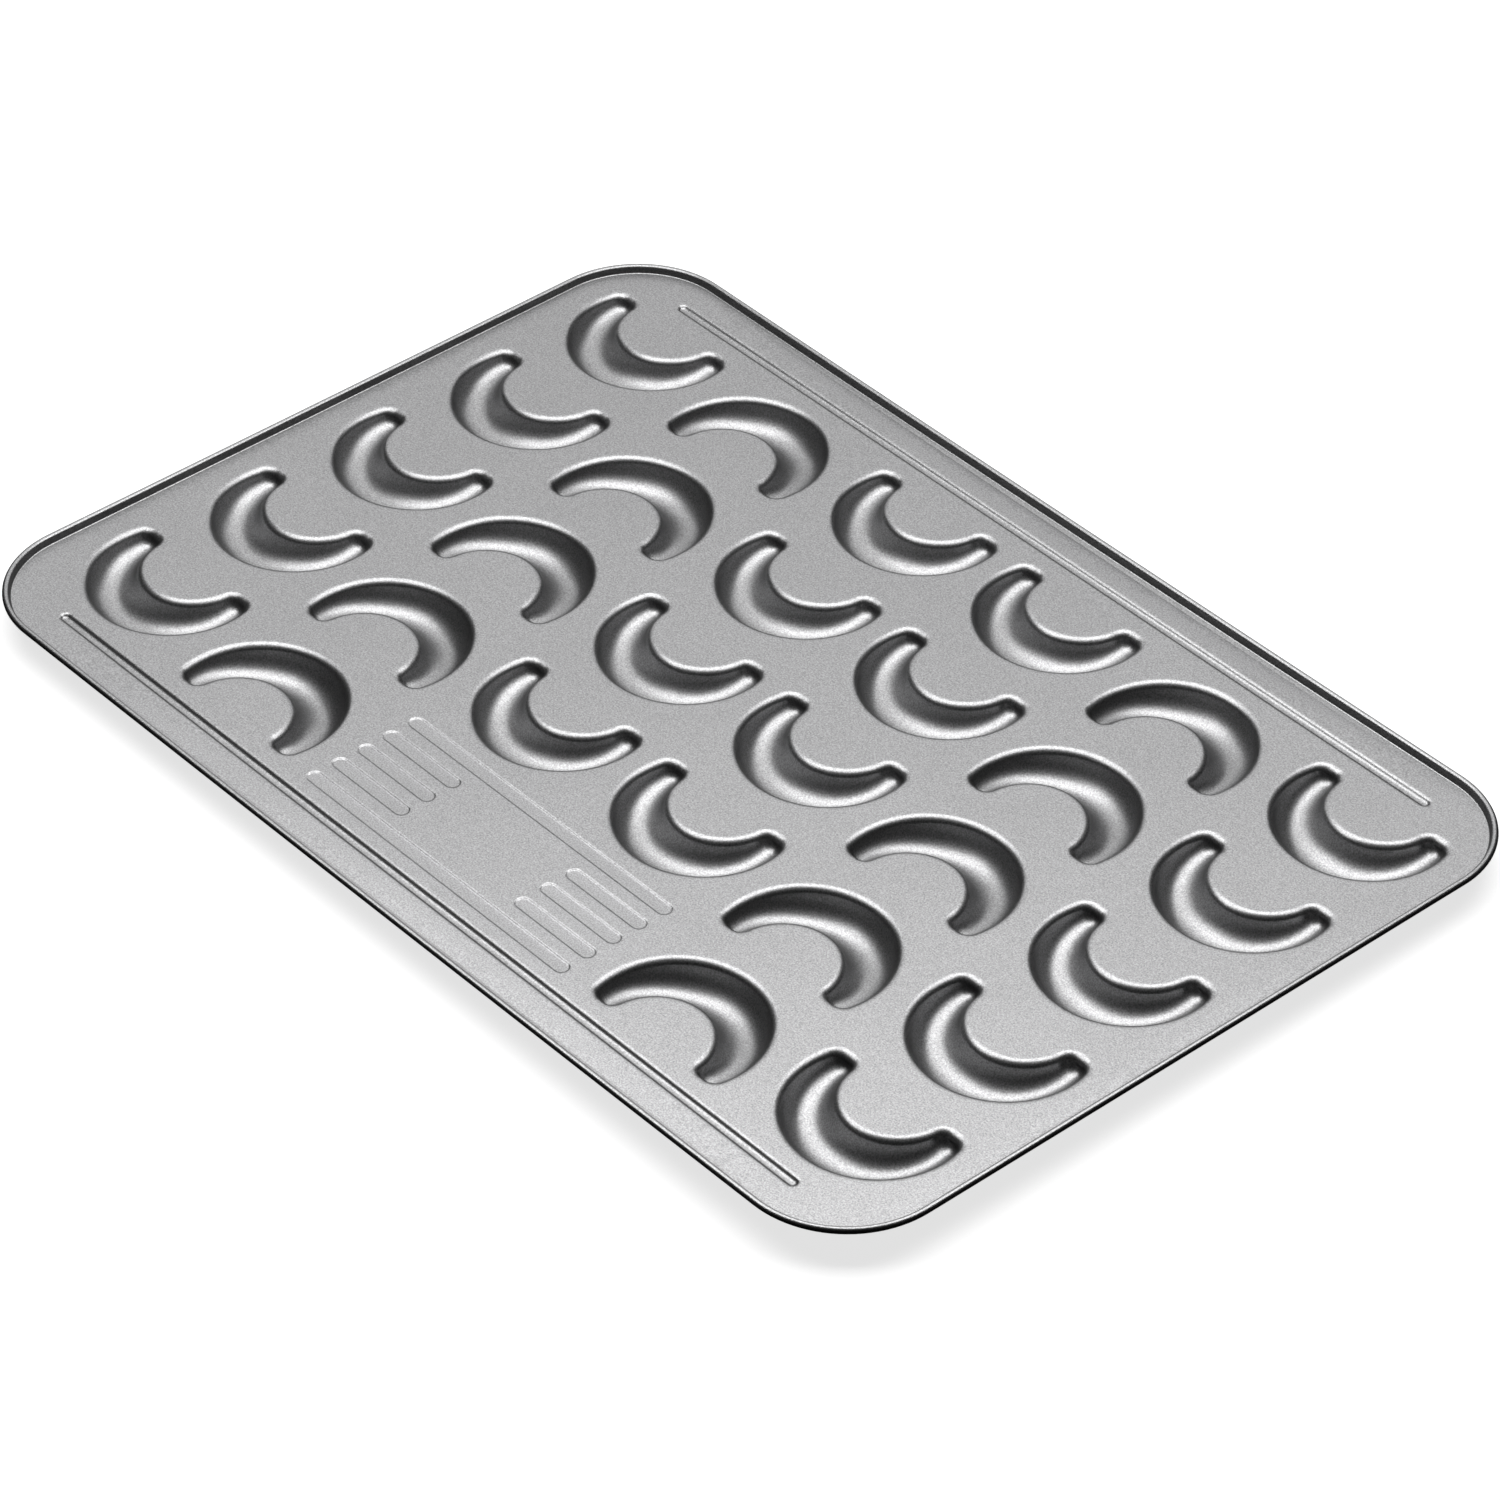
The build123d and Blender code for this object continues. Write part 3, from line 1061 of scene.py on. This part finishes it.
class COOKIEPAN_OT_rim(bpy.types.Operator):
    """Model the rolled rim round the deck"""

    bl_idname = "cookie_pan.rim"
    bl_label = "Rolled rim"

    def execute(self, context):
        sizes = context.scene.cookie_sheet
        rim = model_rim(sizes)
        thicken(rim, mm(sizes.sheet))
        bow_down(rim, sizes)
        finish_piece(rim, RIM_NODE, coating(context.scene.cookie_coating))
        return {"FINISHED"}


class COOKIEPAN_OT_stage(bpy.types.Operator):
    """Set up the camera, the floor, the softbox, the back panel and the surroundings"""

    bl_idname = "cookie_pan.stage"
    bl_label = "Stage"

    def execute(self, context):
        looks = context.scene.cookie_studio
        stand_camera(looks)
        lay_floor(looks)
        hang_softbox(looks)
        stand_back_panel(looks)
        light_world(looks)
        return {"FINISHED"}


class COOKIEPAN_PT_panel(bpy.types.Panel):
    """Steps that dress the cookie pan"""

    bl_idname = "COOKIEPAN_PT_panel"
    bl_label = "Cookie Pan"
    bl_space_type = "VIEW_3D"
    bl_region_type = "UI"
    bl_category = "Cookie Pan"

    def draw(self, context):
        column = self.layout.column()
        for step in STEPS:
            column.operator(step.bl_idname)


STEPS = (COOKIEPAN_OT_moulds, COOKIEPAN_OT_deck, COOKIEPAN_OT_rim, COOKIEPAN_OT_stage)
GROUPS = {
    "cookie_moulds": MouldSizes,
    "cookie_sheet": SheetSizes,
    "cookie_coating": CoatingLooks,
    "cookie_studio": StudioLooks,
}


def register():
    for name, group in GROUPS.items():
        bpy.utils.register_class(group)
        setattr(bpy.types.Scene, name, PointerProperty(type=group))
    for step in STEPS:
        bpy.utils.register_class(step)
    bpy.utils.register_class(COOKIEPAN_PT_panel)


def unregister():
    bpy.utils.unregister_class(COOKIEPAN_PT_panel)
    for step in reversed(STEPS):
        bpy.utils.unregister_class(step)
    for name, group in GROUPS.items():
        delattr(bpy.types.Scene, name)
        bpy.utils.unregister_class(group)


def main():
    register()
    bpy.ops.cookie_pan.moulds()
    bpy.ops.cookie_pan.deck()
    bpy.ops.cookie_pan.rim()
    bpy.ops.cookie_pan.stage()


if __name__ == "__main__":
    main()
